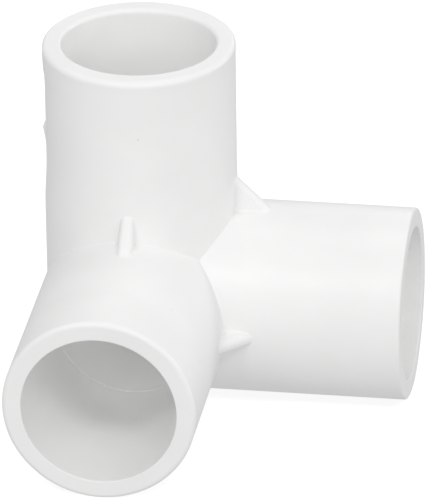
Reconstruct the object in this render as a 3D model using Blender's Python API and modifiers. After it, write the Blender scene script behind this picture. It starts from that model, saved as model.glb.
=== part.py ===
"""Three-way corner elbow in white PVC for nominal 25 mm pressure pipe.

The fitting is one injection moulding. It is modelled as its own features, each a closed
solid that meets its neighbours face to face: the corner hub, three plain sockets, three
webs in the corners between the sockets, and the witness left by the moulding gate.

Metres, +Z up. The sockets point along +Z, -Y and +X from the junction of their axes.
The world origin is the bottom centre of the fitting's box.
"""
import math

import bmesh
import bpy
from mathutils import Matrix, Vector

MM = 0.001

# Sockets and body
OUTER_RADIUS = 15.7 * MM
CENTRE_TO_FACE = 44.4 * MM
BORE_RADIUS_AT_MOUTH = 12.60 * MM
BORE_RADIUS_AT_STOP = 12.50 * MM
RIM_ROUND = 0.80 * MM
LEAD_IN = 0.15 * MM

# Corner hub: the waterway, the stop ledge, and where the plain sockets begin
WATERWAY_RADIUS = 12.0 * MM
STOP_FROM_CENTRE = 13.0 * MM
HUB_REACH = 24.4 * MM

# Corner webs: leg along each tube, thickness at the free edge and at the root
WEB_LEG_UP_FRONT = 4.9 * MM
WEB_LEG_UP_RIGHT = 5.6 * MM
WEB_LEG_FRONT_RIGHT = 4.7 * MM
WEB_EDGE_THICKNESS = 2.2 * MM
WEB_ROOT_THICKNESS = 2.9 * MM
WEB_EDGE_ROUND = 0.70 * MM
WEB_BURIED = 2.0 * MM

# Gate witness on the upright socket's outer side: a torn wedge, proud at its top
GATE_HEIGHT = 0.75 * MM
GATE_FOOT_HEIGHT = 0.10 * MM
GATE_WIDTH = 2.40 * MM
GATE_BOTTOM = 25.3 * MM
GATE_TOP = 29.0 * MM
GATE_BURIED = 1.00 * MM
GATE_EDGE_ROUND = 0.12 * MM

SEGMENTS = 72
GRID = 6
UP, FRONT, RIGHT = Vector((0, 0, 1)), Vector((0, -1, 0)), Vector((1, 0, 0))
JUNCTION = Vector((
    (OUTER_RADIUS + GATE_HEIGHT - CENTRE_TO_FACE) / 2,
    (CENTRE_TO_FACE - OUTER_RADIUS) / 2,
    OUTER_RADIUS,
))
PVC_WHITE = (0.83, 0.83, 0.81, 1.0)


def bore_radius(distance):
    """Radius of the slightly tapered socket bore at a distance from the junction."""
    share = (distance - STOP_FROM_CENTRE) / (CENTRE_TO_FACE - STOP_FROM_CENTRE)
    return BORE_RADIUS_AT_STOP + share * (BORE_RADIUS_AT_MOUTH - BORE_RADIUS_AT_STOP)


def turn_to(axis):
    """Rotation that takes +Z to the axis and keeps the other axes on coordinate axes."""
    if axis == UP:
        return Matrix.Identity(4)
    if axis == FRONT:
        return Matrix.Rotation(math.radians(90), 4, "X")
    return Matrix.Rotation(math.radians(90), 4, "Y")


def pvc(name):
    """White unplasticised PVC, lightly glossy."""
    material = bpy.data.materials.new(name + "_pvc")
    material.use_nodes = True
    shader = material.node_tree.nodes["Principled BSDF"]
    shader.inputs["Base Color"].default_value = PVC_WHITE
    shader.inputs["Roughness"].default_value = 0.38
    shader.inputs["IOR"].default_value = 1.53
    material.diffuse_color = PVC_WHITE
    return material


def add_object(name, bm, collection, turn=None):
    """Object from a bmesh built about the junction, with vertices on a fine grid."""
    for vert in bm.verts:
        vert.co = [round(value, GRID) for value in vert.co]
    mesh = bpy.data.meshes.new(name)
    bm.to_mesh(mesh)
    bm.free()
    obj = bpy.data.objects.new(name, mesh)
    obj.matrix_world = Matrix.Translation(JUNCTION) @ (turn or Matrix.Identity(4))
    collection.objects.link(obj)
    return obj


def add_part(name, bm, turn=None):
    """A visible piece with its own material."""
    obj = add_object(name, bm, PARTS, turn)
    obj.data.materials.append(pvc(name))
    return obj


def add_cutter(name, bm):
    """A hidden body used only by Boolean modifiers."""
    obj = add_object(name, bm, CUTTERS)
    obj.hide_render = True
    obj.display_type = "WIRE"
    return obj


def rod(axis, radius_near, radius_far, near, far, segments=SEGMENTS):
    """Round bar or taper along an axis, between two distances from the junction."""
    bm = bmesh.new()
    bmesh.ops.create_cone(
        bm, cap_ends=True, segments=segments,
        radius1=radius_near, radius2=radius_far, depth=far - near,
    )
    bmesh.ops.translate(bm, verts=bm.verts, vec=(0, 0, (near + far) / 2))
    bmesh.ops.transform(bm, verts=bm.verts, matrix=turn_to(axis))
    return bm


def ball(radius):
    """Ball at the junction whose facets line up with the bars' facets."""
    bm = bmesh.new()
    bmesh.ops.create_uvsphere(
        bm, u_segments=SEGMENTS, v_segments=SEGMENTS // 2, radius=radius)
    return bm


def boolean(obj, cutter, operation):
    """Exact Boolean of a piece with a hidden body."""
    modifier = obj.modifiers.new(operation.title() + "_" + cutter.name, "BOOLEAN")
    modifier.object = cutter
    modifier.operation = operation
    modifier.solver = "EXACT"


def smooth(obj, degrees=25):
    """Smooth shading with sharp edges where faces turn more than the angle."""
    obj.data.shade_smooth()
    obj.data.set_sharp_from_angle(angle=math.radians(degrees))


def corner_hub(arms):
    """Ball-backed corner where the three tubes meet, with waterway and stop ledges."""
    hub = add_part("corner_hub", ball(OUTER_RADIUS))
    for arm in arms.values():
        boolean(hub, arm, "UNION")
    boolean(hub, add_cutter("cut_waterway_heel", ball(WATERWAY_RADIUS)), "DIFFERENCE")
    for name, axis in (("up", UP), ("front", FRONT), ("right", RIGHT)):
        waterway = rod(axis, WATERWAY_RADIUS, WATERWAY_RADIUS, 0, STOP_FROM_CENTRE + MM)
        boolean(hub, add_cutter("cut_waterway_" + name, waterway), "DIFFERENCE")
        far = HUB_REACH + MM
        bore = rod(axis, bore_radius(STOP_FROM_CENTRE), bore_radius(far), STOP_FROM_CENTRE, far)
        boolean(hub, add_cutter("cut_bore_" + name, bore), "DIFFERENCE")
    smooth(hub)
    return hub


def socket(name, axis):
    """Plain outer length of a socket, turned from its wall section."""
    rim = [
        (OUTER_RADIUS - RIM_ROUND * (1 - math.cos(turn)),
         CENTRE_TO_FACE - RIM_ROUND * (1 - math.sin(turn)))
        for turn in (math.radians(step) for step in (90, 60, 30, 0))
    ]
    outline = rim + [
        (OUTER_RADIUS, HUB_REACH),
        (bore_radius(HUB_REACH), HUB_REACH),
        (bore_radius(CENTRE_TO_FACE), CENTRE_TO_FACE - LEAD_IN),
        (bore_radius(CENTRE_TO_FACE) + LEAD_IN, CENTRE_TO_FACE),
    ]
    bm = bmesh.new()
    verts = [bm.verts.new((radius, 0, height)) for radius, height in outline]
    for first, second in zip(verts, verts[1:] + verts[:1]):
        bm.edges.new((first, second))
    obj = add_part(name, bm, turn_to(axis))
    screw = obj.modifiers.new("Turned", "SCREW")
    screw.axis = "Z"
    screw.steps = screw.render_steps = SEGMENTS
    screw.use_merge_vertices = True
    screw.merge_threshold = 1e-6
    screw.use_smooth_shade = True
    return obj


def web(name, first, second, leg, arms):
    """Triangular web in the corner between two tubes, its feet trimmed to both tubes."""
    outward = (first + second).normalized()
    along = (second - first).normalized()
    edge_distance = math.sqrt(2) * OUTER_RADIUS + leg / math.sqrt(2)
    depth = leg / math.sqrt(2) + WEB_BURIED
    slope = (WEB_ROOT_THICKNESS - WEB_EDGE_THICKNESS) / (leg / math.sqrt(2))
    half_width = leg / math.sqrt(2) + WEB_BURIED
    bm = bmesh.new()
    bmesh.ops.create_cube(bm, size=1)
    for vert in bm.verts:
        thickness = WEB_EDGE_THICKNESS + (slope * depth if vert.co.z < 0 else 0)
        vert.co.x *= 2 * half_width
        vert.co.y *= thickness
        vert.co.z = edge_distance - (depth if vert.co.z < 0 else 0)
    frame = Matrix((along, outward.cross(along), outward)).transposed().to_4x4()
    bmesh.ops.transform(bm, verts=bm.verts, matrix=frame)
    obj = add_part(name, bm)
    bevel = obj.modifiers.new("Edge_round", "BEVEL")
    bevel.width = WEB_EDGE_ROUND
    bevel.segments = 3
    for arm in arms:
        boolean(obj, arm, "DIFFERENCE")
    smooth(obj, 40)
    return obj


def gate_witness(arm):
    """Low wedge on the upright socket's outer side, trimmed to the tube."""
    bm = bmesh.new()
    bmesh.ops.create_cube(bm, size=1)
    for vert in bm.verts:
        above, outer = vert.co.z > 0, vert.co.x < 0
        proud = GATE_HEIGHT if above else GATE_FOOT_HEIGHT
        vert.co.x = -OUTER_RADIUS + (-proud if outer else GATE_BURIED)
        vert.co.y *= GATE_WIDTH
        vert.co.z = GATE_TOP if above else GATE_BOTTOM
    obj = add_part("gate_witness", bm)
    bevel = obj.modifiers.new("Edge_round", "BEVEL")
    bevel.width = GATE_EDGE_ROUND
    bevel.segments = 2
    boolean(obj, arm, "DIFFERENCE")
    smooth(obj, 40)
    return obj


def build():
    """The whole fitting."""
    arms = {
        name: add_cutter("arm_" + name, rod(axis, OUTER_RADIUS, OUTER_RADIUS, 0, HUB_REACH))
        for name, axis in (("up", UP), ("front", FRONT), ("right", RIGHT))
    }
    corner_hub(arms)
    socket("socket_up", UP)
    socket("socket_front", FRONT)
    socket("socket_right", RIGHT)
    up, front, right = arms["up"], arms["front"], arms["right"]
    web("web_up_front", UP, FRONT, WEB_LEG_UP_FRONT, (up, front))
    web("web_up_right", UP, RIGHT, WEB_LEG_UP_RIGHT, (up, right))
    web("web_front_right", FRONT, RIGHT, WEB_LEG_FRONT_RIGHT, (front, right))
    long_arm = rod(UP, OUTER_RADIUS, OUTER_RADIUS, HUB_REACH, CENTRE_TO_FACE)
    gate_witness(add_cutter("arm_up_outer", long_arm))


for old in list(bpy.data.objects):
    bpy.data.objects.remove(old, do_unlink=True)
PARTS = bpy.data.collections.new("pvc_corner_elbow")
CUTTERS = bpy.data.collections.new("cutters")
for made in (PARTS, CUTTERS):
    bpy.context.scene.collection.children.link(made)
build()
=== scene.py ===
"""Looks for the white PVC three-way corner fitting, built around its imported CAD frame.

Every CAD node is replaced by a finer piece of the same feature: a filleted hub skin,
turned sockets with rounded rims, webs that flow into the tubes, and the torn gate mark.
Shapes are worked out in metres about the junction of the three socket axes, in arm
coordinates (a, b, c), where a points out of the right socket, b out of the front one and
c out of the upright one.
"""
import math

import bmesh
import bpy
import numpy as np
from mathutils import Matrix, Vector


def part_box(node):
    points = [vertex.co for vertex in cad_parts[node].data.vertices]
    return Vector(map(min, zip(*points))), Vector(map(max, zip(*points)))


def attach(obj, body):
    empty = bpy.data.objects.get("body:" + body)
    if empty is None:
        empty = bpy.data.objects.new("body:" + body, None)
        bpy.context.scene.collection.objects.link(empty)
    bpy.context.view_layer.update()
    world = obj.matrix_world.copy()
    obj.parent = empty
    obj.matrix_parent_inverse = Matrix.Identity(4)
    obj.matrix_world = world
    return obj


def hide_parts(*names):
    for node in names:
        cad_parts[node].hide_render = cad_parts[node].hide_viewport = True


MM = 0.001
ROOT2 = math.sqrt(2)
TINY = 1e-12                      # keeps a division from failing
RIGHT_ARM, FRONT_ARM, UP_ARM = 0, 1, 2
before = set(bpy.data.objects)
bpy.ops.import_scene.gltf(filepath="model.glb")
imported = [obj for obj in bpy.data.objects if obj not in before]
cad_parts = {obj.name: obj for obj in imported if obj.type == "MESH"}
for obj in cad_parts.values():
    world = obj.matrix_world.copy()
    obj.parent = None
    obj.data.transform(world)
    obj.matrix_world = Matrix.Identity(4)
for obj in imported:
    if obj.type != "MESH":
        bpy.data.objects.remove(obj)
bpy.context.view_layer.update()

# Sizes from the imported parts
up_low, up_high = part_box("socket_up")
hub_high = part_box("corner_hub")[1]
gate_low, gate_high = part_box("gate_witness")
RADIUS = (up_high.x - up_low.x) / 2
JUNCTION = np.array([(up_low.x + up_high.x) / 2, (up_low.y + up_high.y) / 2, RADIUS])
REACH = hub_high.z - JUNCTION[2]  # from the junction to the end of the hub
FACE = up_high.z - JUNCTION[2]    # from the junction to a socket's mouth

# Sizes the boxes don't show
BORE_AT_MOUTH = 12.60 * MM
BORE_AT_STOP = 12.50 * MM
WATERWAY = 12.3 * MM
STOP = 13.0 * MM                  # from the junction to the stop ledge
LEDGE_ROUND = 0.10 * MM
RIM_ROUND = 0.80 * MM
LEAD_IN = 0.15 * MM
CREASE_ROUND = 0.25 * MM          # fillet where the tubes meet outside
BORE_CREASE_ROUND = 0.30 * MM     # and where the waterways meet inside
WEB_EDGE_THICKNESS = 2.2 * MM
WEB_ROOT_THICKNESS = 2.45 * MM
SINK = 0.005 * MM                 # how far a piece's skirt ends under the tube skin

# Facets round each tube, and how close two vertices are before they become one
COLUMNS = 192
TURNS = np.arange(COLUMNS) * 2 * math.pi / COLUMNS
TUBE_WELD = 2e-7
PLATE_WELD = 1e-7


# ---------------------------------------------------------------- mesh helpers

def smooth_step(share):
    """0 to 1 with level ends."""
    share = np.clip(share, 0, 1)
    return share * share * (3 - 2 * share)


def to_world(points):
    """Arm coordinates to the row frame: a along +X, b along -Y, c along +Z."""
    return JUNCTION + np.asarray(points, float) * (1, -1, 1)


def slimmed(points):
    """The upright tube is a little thinner below its rim, most of all on its outer side."""
    points = np.array(points, float)
    a, b, c = points.T
    radius = np.maximum(np.hypot(a, b), 1e-9)
    depth = FACE - c
    outer_side = np.interp(depth, np.array([1.2, 4.0, 5.1, 7.0]) * MM, [0, 0.10, 0.30, 0.36])
    elsewhere = np.interp(depth, np.array([0.8, 2.0, 20.0]) * MM, [0, 0.06, 0.10])
    facing = np.clip(-a / radius, 0, 1) ** 4
    amount = (outer_side * facing + elsewhere * (1 - facing)) * MM
    clear_of_corner = smooth_step((c - RADIUS - 0.6 * MM) / (8.0 * MM))
    through_wall = np.clip((radius - BORE_AT_MOUTH) / (RADIUS - BORE_AT_MOUTH), 0, 1.2)
    factor = 1 - amount * clear_of_corner * through_wall / radius
    return points * np.stack([factor, factor, np.ones_like(factor)], 1)


def make_piece(name, points, faces, node, sharp_degrees, weld):
    """A smooth-shaded closed piece from arm coordinates, standing for a CAD node."""
    mesh = bpy.data.meshes.new(name)
    mesh.from_pydata(to_world(slimmed(points)).tolist(), [], faces)
    bm = bmesh.new()
    bm.from_mesh(mesh)
    bmesh.ops.remove_doubles(bm, verts=bm.verts, dist=weld)
    bmesh.ops.dissolve_degenerate(bm, edges=bm.edges, dist=weld)
    bmesh.ops.recalc_face_normals(bm, faces=bm.faces)
    bm.to_mesh(mesh)
    bm.free()
    mesh.shade_smooth()
    mesh.set_sharp_from_angle(angle=math.radians(sharp_degrees))
    piece = bpy.data.objects.new(name, mesh)
    bpy.context.scene.collection.objects.link(piece)
    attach(piece, "root")
    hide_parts(node)
    return piece


def make_tube(name, points, faces, node):
    """A piece turned about an arm, or several such joined."""
    return make_piece(name, points, faces, node, sharp_degrees=50, weld=TUBE_WELD)


def make_plate(name, top, under, node):
    """A piece between two equal grids of points, joined all round their edges."""
    rows, columns = top.shape[:2]
    lower = rows * columns
    edge = list(range(columns))
    edge += [r * columns + columns - 1 for r in range(1, rows)]
    edge += [(rows - 1) * columns + c for c in range(columns - 2, -1, -1)]
    edge += [r * columns for r in range(rows - 2, 0, -1)]
    faces = grid_faces(rows, columns) + grid_faces(rows, columns, lower)
    for here, after in zip(edge, edge[1:] + edge[:1]):
        faces.append((here, after, lower + after, lower + here))
    points = np.concatenate([top.reshape(-1, 3), under.reshape(-1, 3)])
    return make_piece(name, points, faces, node, sharp_degrees=70, weld=PLATE_WELD)


def grid_faces(rows, columns, start=0, wrap=False):
    """Quads of a rows by columns grid of points, closed round its columns if wrap."""
    last = columns if wrap else columns - 1
    return [
        (start + r * columns + c, start + r * columns + (c + 1) % columns,
         start + (r + 1) * columns + (c + 1) % columns, start + (r + 1) * columns + c)
        for r in range(rows - 1) for c in range(last)
    ]


def quarter(count):
    """How far a quarter round has come and still has to go, at even steps of its turn."""
    return [(1 - math.cos(t), 1 - math.sin(t)) for t in np.linspace(0, math.pi / 2, count)]


# ---------------------------------------------------------------- implicit shape

def blend_min(one, two, turn_round):
    """Smooth union of two (distance, normal) fields with a rolling-ball sized fillet.

    The fillet shrinks to nothing where the surfaces turn tangent, as a real one does."""
    (d1, n1), (d2, n2) = one, two
    alike = np.clip((n1 * n2).sum(1), -1, 1)
    k = np.maximum(4 * turn_round * (1 - np.sqrt((1 + alike) / 2)), 1e-9)
    h = np.clip(0.5 + 0.5 * (d2 - d1) / k, 0, 1)
    distance = d2 * (1 - h) + d1 * h - k * h * (1 - h)
    normal = n1 * h[:, None] + n2 * (1 - h[:, None])
    return distance, normal / np.maximum(np.linalg.norm(normal, axis=1), TINY)[:, None]


def arm_field(points, arm, radius):
    """Distance and normal of a round-ended bar from the junction out along one arm."""
    radial = points.copy()
    radial[:, arm] = np.minimum(radial[:, arm], 0)
    length = np.maximum(np.linalg.norm(radial, axis=1), TINY)
    return length - radius, radial / length[:, None]


def tubes_field(points, radius, turn_round):
    """Three bars from the junction, filleted along the lines where they meet."""
    field = arm_field(points, RIGHT_ARM, radius)
    for arm in (FRONT_ARM, UP_ARM):
        field = blend_min(field, arm_field(points, arm, radius), turn_round)
    return field


def outside(points):
    """The tubes' outer skin."""
    return tubes_field(points, RADIUS, CREASE_ROUND)


def waterways(points):
    """The wall of the waterways where they meet."""
    return tubes_field(points, WATERWAY, BORE_CREASE_ROUND)


def settle(grid, field, steps=6, reach=2.0 * MM):
    """Moves points on to the surface where a field is zero, but none past its reach."""
    start = grid.reshape(-1, 3)
    points = start.copy()
    tiny, longest = 2e-6, 0.4 * MM
    for _ in range(steps):
        value = field(points)[0]
        slope = np.empty_like(points)
        for axis in range(3):
            step = np.zeros(3)
            step[axis] = tiny
            slope[:, axis] = (field(points + step)[0] - field(points - step)[0]) / (2 * tiny)
        size = np.maximum((slope ** 2).sum(1), 1e-6)
        points -= np.clip(slope * (value / size)[:, None], -longest, longest)
    far = np.linalg.norm(points - start, axis=1) > reach
    points[far] = start[far]
    return points.reshape(grid.shape)


# ---------------------------------------------------------------- corner hub

def arm_points(arm, radius, along):
    """Points at every turn round an arm: the first lies towards the next arm's axis."""
    points = np.empty(np.broadcast(radius, along, TURNS).shape + (3,))
    points[..., arm] = along
    points[..., (arm + 1) % 3] = radius * np.cos(TURNS)
    points[..., (arm + 2) % 3] = radius * np.sin(TURNS)
    return points


def graded(low, high, near, rows):
    """Row positions from low to high: small steps in millimetres first, then even ones."""
    tail = np.linspace(0, 1, rows + 1)[1:, None]
    first = low[None, :] + np.array(near)[:, None] * MM
    return np.vstack([first, first[-1] + (high - first[-1]) * tail])


def bore_radius(along):
    """The socket bore's slight taper."""
    share = (along - STOP) / (FACE - STOP)
    return BORE_AT_STOP + share * (BORE_AT_MOUTH - BORE_AT_STOP)


def hub_arm(arm):
    """Rows of one arm: outer skin out to the socket, end ring, bore, ledge, waterway."""
    crease = np.maximum(0, np.maximum(np.cos(TURNS), np.sin(TURNS)))
    near = [0, .05, .1, .16, .23, .31, .4, .5, .62, .76, .94, 1.2, 1.6, 2.1]
    skin = settle(arm_points(arm, RADIUS, graded(RADIUS * crease, REACH, near, 16)), outside)
    skin[-1] = arm_points(arm, RADIUS, REACH)

    section = [(bore_radius(d), d) for d in np.linspace(REACH, STOP + 0.3 * MM, 9)]
    section += [
        (BORE_AT_STOP - LEDGE_ROUND * come, STOP + LEDGE_ROUND * to_go)
        for come, to_go in quarter(5)
    ]
    section += [
        (WATERWAY + LEDGE_ROUND * to_go, STOP - LEDGE_ROUND * come)
        for come, to_go in quarter(6)
    ]
    rings = [arm_points(arm, radius, along) for radius, along in section]

    near = [0, .04, .09, .15, .22, .32, .45]
    inner = graded(WATERWAY * crease, STOP - 1.6 * LEDGE_ROUND, near, 9)
    way = settle(arm_points(arm, WATERWAY, inner), waterways)
    return np.concatenate([skin, rings, way[::-1]])


def ball_corner(radius, steps):
    """The eighth of a ball behind the junction, with points that match the arms'."""
    index, points, faces = {}, [], []
    for i in range(steps + 1):
        for j in range(steps + 1 - i):
            weights = np.array([i, j, steps - i - j]) * (math.pi / 2 / steps)
            toward = -np.sin(weights)
            index[i, j] = len(points)
            points.append(radius * toward / np.linalg.norm(toward))
    for i in range(steps):
        for j in range(steps - i):
            faces.append((index[i, j], index[i + 1, j], index[i, j + 1]))
            if i + j < steps - 1:
                faces.append((index[i + 1, j], index[i + 1, j + 1], index[i, j + 1]))
    return np.array(points), faces


def build_hub():
    """The whole corner as one closed skin."""
    points, faces = [], []
    count = 0
    for arm in (RIGHT_ARM, FRONT_ARM, UP_ARM):
        rows = hub_arm(arm)
        faces += grid_faces(len(rows), COLUMNS, count, wrap=True)
        points.append(rows.reshape(-1, 3))
        count += len(points[-1])
    for radius in (RADIUS, WATERWAY):
        patch, patch_faces = ball_corner(radius, COLUMNS // 4)
        faces += [tuple(count + v for v in face) for face in patch_faces]
        points.append(patch)
        count += len(patch)
    return make_tube("hub_skin", np.concatenate(points), faces, "corner_hub")


# ---------------------------------------------------------------- sockets

def socket_profile(rim_round, lead_in):
    """Wall section from the hub outwards, over the rim and back down the bore."""
    lip = FACE - 8.0 * MM
    mouth = bore_radius(FACE)
    section = [(RADIUS, d) for d in np.linspace(REACH, lip, 12)[:-1]]
    section += [(RADIUS, d) for d in np.linspace(lip, FACE - rim_round - 0.1 * MM, 25)]
    section += [
        (RADIUS - rim_round * come, FACE - rim_round * to_go) for come, to_go in quarter(11)
    ]
    section += [(RADIUS - rim_round - 0.08 * MM, FACE), (mouth + lead_in + 0.05 * MM, FACE)]
    section += [(mouth + lead_in * to_go, FACE - lead_in * come) for come, to_go in quarter(8)]
    section += [(bore_radius(d), d) for d in np.linspace(FACE - lead_in - 0.2 * MM, REACH, 12)]
    return section


def build_socket(
        name, arm, node, rim_round=RIM_ROUND, lead_in=LEAD_IN, rim_vary=0.0, lead_vary=0.0):
    """One turned socket; its rim edges can be rounder on one side than on the other."""
    waves = np.sin(5 * TURNS + arm) + 0.7 * np.sin(11 * TURNS + 2 * arm) + 0.5 * np.sin(23 * TURNS)
    uneven = 0.035 * MM * waves
    profiles = np.array([
        socket_profile(rim_round + u + rim_vary * math.sin(t), lead_in + lead_vary * math.sin(t))
        for t, u in zip(TURNS, uneven)
    ])
    rows = [arm_points(arm, radius, along) for radius, along in profiles.transpose(1, 2, 0)]
    rows.append(rows[0].copy())
    faces = grid_faces(len(rows), COLUMNS, wrap=True)
    return make_tube(name, np.array(rows).reshape(-1, 3), faces, node)


# ---------------------------------------------------------------- webs

def free_edge(leg):
    """How far out from the junction a web's free edge lies."""
    return ROOT2 * RADIUS + leg / ROOT2


def tube_line(across, along):
    """How far out the tubes' skin lies, at a place across the web and along the corner."""
    return ROOT2 * np.sqrt(RADIUS ** 2 - across ** 2) + abs(along)


def web_field(points, one, two, leg, middle, edge_round):
    """A triangular web across the corner between two arms, round along its free edge."""
    third = 3 - one - two
    outward = (points[:, one] + points[:, two]) / ROOT2
    edge = free_edge(leg)
    draft = (WEB_ROOT_THICKNESS - WEB_EDGE_THICKNESS) / 2 / (leg / ROOT2)
    half = WEB_EDGE_THICKNESS / 2 + draft * np.maximum(edge - outward, 0)
    across = points[:, third] - middle
    over = np.stack([np.abs(across) - half, outward - edge], 1) + edge_round
    positive = np.maximum(over, 0)
    length = np.linalg.norm(positive, axis=1)
    distance = length + np.minimum(over.max(1), 0) - edge_round
    flat = np.where(over[:, :1] > over[:, 1:], [[1.0, 0.0]], [[0.0, 1.0]])
    facing = np.where(length[:, None] > TINY, positive / np.maximum(length, TINY)[:, None], flat)
    normal = np.zeros_like(points)
    normal[:, third] = facing[:, 0] * np.where(across < 0, -1, 1)
    normal[:, one] = normal[:, two] = facing[:, 1] / ROOT2
    return distance, normal


def web_section(along, leg, width, count, middle):
    """Across and outward places, evenly spaced over tube, web and tube."""
    flank = np.linspace(-width, -WEB_ROOT_THICKNESS / 2, 40)
    outline = [(w, tube_line(w + middle, along)) for w in flank]
    for side in (-WEB_EDGE_THICKNESS / 2, 0, WEB_EDGE_THICKNESS / 2):
        outline.append((side, max(free_edge(leg), tube_line(side + middle, along))))
    outline += [(-w, tube_line(middle - w, along)) for w in flank[::-1]]
    outline = np.array(outline)
    run = np.concatenate([[0], np.cumsum(np.linalg.norm(np.diff(outline, axis=0), axis=1))])
    even = np.linspace(0, run[-1], count)
    across, outward = (np.interp(even, run, values) for values in outline.T)
    return across + middle, outward


def build_web(name, one, two, node, leg, foot_round, edge_round, middle=0.0):
    """A plate with a round free edge, its skirt ending just under the tubes' skin."""
    third = 3 - one - two
    rows, columns = 121, 161
    span = leg / ROOT2 + 1.9 * MM
    width = WEB_ROOT_THICKNESS / 2 + 1.6 * MM
    buried = 1.0 * MM
    layers = np.empty((2, rows, columns, 3))
    for row, along in enumerate(np.linspace(-span, span, rows)):
        across = np.linspace(-width, width, columns) + middle
        sections = (
            web_section(along, leg, width, columns, middle),
            (across, tube_line(across, along) - buried),
        )
        for layer, (side, outward) in zip(layers, sections):
            layer[row, :, one] = (outward - along) / ROOT2
            layer[row, :, two] = (outward + along) / ROOT2
            layer[row, :, third] = side

    def tubes_and_web(points):
        web = web_field(points, one, two, leg, middle, edge_round)
        return blend_min(outside(points), web, foot_round)

    top = settle(layers[0], tubes_and_web, steps=10, reach=4 * MM)
    distance, normal = outside(top.reshape(-1, 3))
    sunk = SINK * (1 - smooth_step(distance / (0.012 * MM)))
    top -= (normal * sunk[:, None]).reshape(top.shape)
    return make_plate(name, top, layers[1], node)


# ---------------------------------------------------------------- gate mark

def build_gate():
    """Torn wedge of gate plastic on the upright socket's outer side."""
    rows, columns = 61, 49
    margin = 0.3 * MM
    low, high = gate_low.z - JUNCTION[2], gate_high.z - JUNCTION[2]
    proud = -(gate_low.x - JUNCTION[0]) - RADIUS
    half = (gate_high.y - gate_low.y) / 2
    along = np.linspace(low - margin, high + margin, rows)[:, None]
    side = np.linspace(-half - margin, half + margin, columns)[None, :]

    def inside(distance, strip):
        """0 outside an edge to 1 inside it, over a strip along it."""
        return smooth_step(distance / strip + 0.5)

    climb = np.clip((along - low) / (high - low), 0, 1)
    coarse = np.sin(side * 5200 + 1.3) * np.sin(along * 3700)
    fine = np.sin(side * 11800 + along * 7000)
    torn = 0.05 * MM * (coarse + fine)
    height = 0.10 * MM + (proud - 0.16 * MM) * climb ** 1.25 + torn * climb
    height = height * inside(high - along, 0.22 * MM) * inside(along - low, 0.5 * MM)
    height = np.minimum(height * inside(half - np.abs(side), 0.30 * MM), proud)

    lean = side / RADIUS
    layers = np.empty((2, rows, columns, 3))
    for layer, radius in zip(layers, (RADIUS - SINK + height, RADIUS - 0.8 * MM)):
        layer[..., 0] = -radius * np.cos(lean)
        layer[..., 1] = radius * np.sin(lean)
        layer[..., 2] = along
    return make_plate("gate_mark", layers[0], layers[1], "gate_witness")


# ---------------------------------------------------------------- material

class Graph:
    """A material's nodes, and the object coordinates that its textures follow."""

    def __init__(self, material):
        self.nodes = material.node_tree.nodes
        self.link = material.node_tree.links.new
        self.where = self.nodes.new("ShaderNodeTexCoord").outputs["Object"]

    def add(self, kind, **values):
        """A node with some input values, whose names have _ for a space."""
        node = self.nodes.new("ShaderNode" + kind)
        for name, value in values.items():
            node.inputs[name.replace("_", " ")].default_value = value
        return node

    def noise(self, scale, detail, rough=0.5, distortion=0.0):
        """Soft clouds."""
        node = self.add(
            "TexNoise", Scale=scale, Detail=detail, Roughness=rough, Distortion=distortion)
        self.link(self.where, node.inputs["Vector"])
        return node.outputs["Fac"]

    def spread(self, source, low, high, out_low, out_high):
        """A value taken from one range to another and held within it."""
        node = self.add(
            "MapRange", From_Min=low, From_Max=high, To_Min=out_low, To_Max=out_high)
        self.link(source, node.inputs["Value"])
        return node.outputs["Result"]

    def bump(self, height, strength, distance):
        """A bump node driven by a height."""
        node = self.add("Bump", Strength=strength, Distance=distance)
        self.link(height, node.inputs["Height"])
        return node


def mottling(graph):
    """Two near whites in clouds."""
    ramp = graph.add("ValToRGB")
    dull, pale = ramp.color_ramp.elements
    dull.position = 0.30
    dull.color = (0.905, 0.905, 0.902, 1)
    pale.position = 0.70
    pale.color = (0.935, 0.935, 0.932, 1)
    graph.link(graph.noise(70, 5, 0.55, 0.4), ramp.inputs["Fac"])
    return ramp.outputs["Color"]


def specks(graph):
    """Strength of the dust specks: a soft dot in one cell in ten."""
    cells = graph.add("TexVoronoi", Scale=260)
    graph.link(graph.where, cells.inputs["Vector"])
    parts = graph.add("SeparateColor")
    graph.link(cells.outputs["Color"], parts.inputs["Color"])
    strength = graph.add("Math")
    strength.operation = "MULTIPLY"
    dot = graph.spread(cells.outputs["Distance"], 0.030, 0.050, 0.45, 0.0)
    chosen = graph.spread(parts.outputs["Red"], 0.90, 0.92, 0.0, 1.0)
    graph.link(dot, strength.inputs[0])
    graph.link(chosen, strength.inputs[1])
    return strength.outputs["Value"]


def pvc_material(name):
    """Moulded white PVC: faint mottling, uneven satin gloss, fine mould texture."""
    material = bpy.data.materials.new(name)
    material.use_nodes = True
    shader = material.node_tree.nodes["Principled BSDF"]
    shader.inputs["IOR"].default_value = 1.50
    shader.inputs["Specular IOR Level"].default_value = 0.5
    graph = Graph(material)

    colour = graph.add("Mix")
    colour.data_type = "RGBA"
    colour.inputs["B"].default_value = (0.55, 0.54, 0.52, 1)
    graph.link(mottling(graph), colour.inputs["A"])
    graph.link(specks(graph), colour.inputs["Factor"])
    graph.link(colour.outputs["Result"], shader.inputs["Base Color"])

    gloss = graph.spread(graph.noise(190, 4, 0.6), 0.3, 0.7, 0.34, 0.46)
    graph.link(gloss, shader.inputs["Roughness"])

    fine = graph.bump(graph.noise(2600, 3, 0.6), 0.10, 0.06 * MM)
    broad = graph.bump(graph.noise(230, 2, 0.5, 0.3), 0.35, 0.12 * MM)
    graph.link(fine.outputs["Normal"], broad.inputs["Normal"])
    graph.link(broad.outputs["Normal"], shader.inputs["Normal"])
    return material


# ---------------------------------------------------------------- stage

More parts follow.
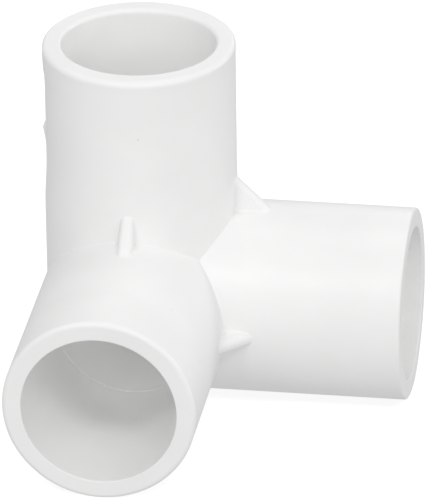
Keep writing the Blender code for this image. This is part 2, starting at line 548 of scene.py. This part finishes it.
def build_stage():
    """Plain white floor, which lights nothing and isn't mirrored in the gloss."""
    half = 12.0
    corners = [(-half, -half, 0), (half, -half, 0), (half, half, 0), (-half, half, 0)]
    mesh = bpy.data.meshes.new("floor")
    mesh.from_pydata(corners, [], [(0, 1, 2, 3)])
    floor = bpy.data.objects.new("floor", mesh)
    bpy.context.scene.collection.objects.link(floor)
    floor.visible_diffuse = False
    floor.visible_glossy = False
    material = bpy.data.materials.new("floor_pale")
    material.use_nodes = True
    shader = material.node_tree.nodes["Principled BSDF"]
    shader.inputs["Base Color"].default_value = (0.75, 0.75, 0.75, 1)
    shader.inputs["Roughness"].default_value = 0.9
    shader.inputs["Emission Color"].default_value = (1, 1, 1, 1)
    shader.inputs["Emission Strength"].default_value = 0.50
    mesh.materials.append(material)


def direction(azimuth, elevation):
    """Unit vector, from radians round from the front to the right and up from the floor."""
    return Vector((
        math.sin(azimuth) * math.cos(elevation),
        -math.cos(azimuth) * math.cos(elevation),
        math.sin(elevation),
    ))


def soft_box(name, azimuth, elevation, power):
    """Square soft box a little over a metre away, at an azimuth and elevation in degrees."""
    centre = Vector((0, 0, 0.03))
    away = direction(math.radians(azimuth), math.radians(elevation))
    data = bpy.data.lights.new(name, "AREA")
    data.shape = "SQUARE"
    data.size = 0.22
    data.energy = power
    light = bpy.data.objects.new(name, data)
    light.location = centre + 1.1 * away
    light.rotation_mode = "QUATERNION"
    light.rotation_quaternion = (-away).to_track_quat("-Z", "Y")
    bpy.context.scene.collection.objects.link(light)


def build_light():
    """White surroundings and soft boxes all round, the strongest high in front."""
    world = bpy.data.worlds.new("studio")
    world.use_nodes = True
    background = world.node_tree.nodes["Background"]
    background.inputs["Color"].default_value = (1, 1, 1, 1)
    background.inputs["Strength"].default_value = 0.60
    bpy.context.scene.world = world
    soft_box("key_right", 24, 46, 1.75)
    soft_box("key_left", -21, 46, 1.5)
    soft_box("front_right", 15, 20, 0.6)
    soft_box("front_left", -20, 20, 0.2)
    soft_box("low_right", 45, 20, 0.65)
    soft_box("side_right", 120, 20, 1.3)
    soft_box("back", 180, 20, 0.5)
    soft_box("top_back", 180, 72, 0.55)
    soft_box("back_left", 240, 48, 0.4)
    bpy.context.scene.view_settings.view_transform = "Standard"
    bpy.context.scene.view_settings.look = "None"
    bpy.context.scene.cycles.diffuse_bounces = 12


def build_camera():
    """Long lens from the front, a little to the right and above."""
    azimuth, elevation, roll = (math.radians(x) for x in (9.378, 26.316, -0.902))
    place_in_radii = Vector((14.393, -82.701, 41.944))
    back = direction(azimuth, elevation)
    level = Vector((math.cos(azimuth), math.sin(azimuth), 0))
    upward = back.cross(level)
    right = math.cos(roll) * level + math.sin(roll) * upward
    above = -math.sin(roll) * level + math.cos(roll) * upward
    data = bpy.data.cameras.new("camera")
    data.lens = 648.0
    data.sensor_width = 36.0
    data.clip_start = 0.05
    data.clip_end = 60
    camera = bpy.data.objects.new("camera", data)
    place = Vector(JUNCTION) + place_in_radii * RADIUS
    basis = Matrix((right, above, back)).transposed().to_4x4()
    camera.matrix_world = Matrix.Translation(place) @ basis
    bpy.context.scene.collection.objects.link(camera)
    bpy.context.scene.camera = camera


# ---------------------------------------------------------------- build

pieces = [
    build_hub(),
    build_socket(
        "up_socket_skin", UP_ARM, "socket_up", rim_round=0.60 * MM, lead_in=0.46 * MM,
        rim_vary=0.44 * MM, lead_vary=-0.34 * MM),
    build_socket("front_socket_skin", FRONT_ARM, "socket_front"),
    build_socket("right_socket_skin", RIGHT_ARM, "socket_right", rim_round=0.45 * MM),
    build_web(
        "up_front_web_skin", UP_ARM, FRONT_ARM, "web_up_front", leg=4.9 * MM,
        foot_round=0.32 * MM, edge_round=0.85 * MM, middle=0.30 * MM),
    build_web(
        "up_right_web_skin", UP_ARM, RIGHT_ARM, "web_up_right", leg=5.6 * MM,
        foot_round=0.32 * MM, edge_round=0.85 * MM),
    build_web(
        "front_right_web_skin", FRONT_ARM, RIGHT_ARM, "web_front_right", leg=4.7 * MM,
        foot_round=0.28 * MM, edge_round=1.05 * MM, middle=-0.30 * MM),
    build_gate(),
]
pvc = pvc_material("white_pvc_moulded")
for piece in pieces:
    piece.data.materials.append(pvc)
build_stage()
build_light()
build_camera()
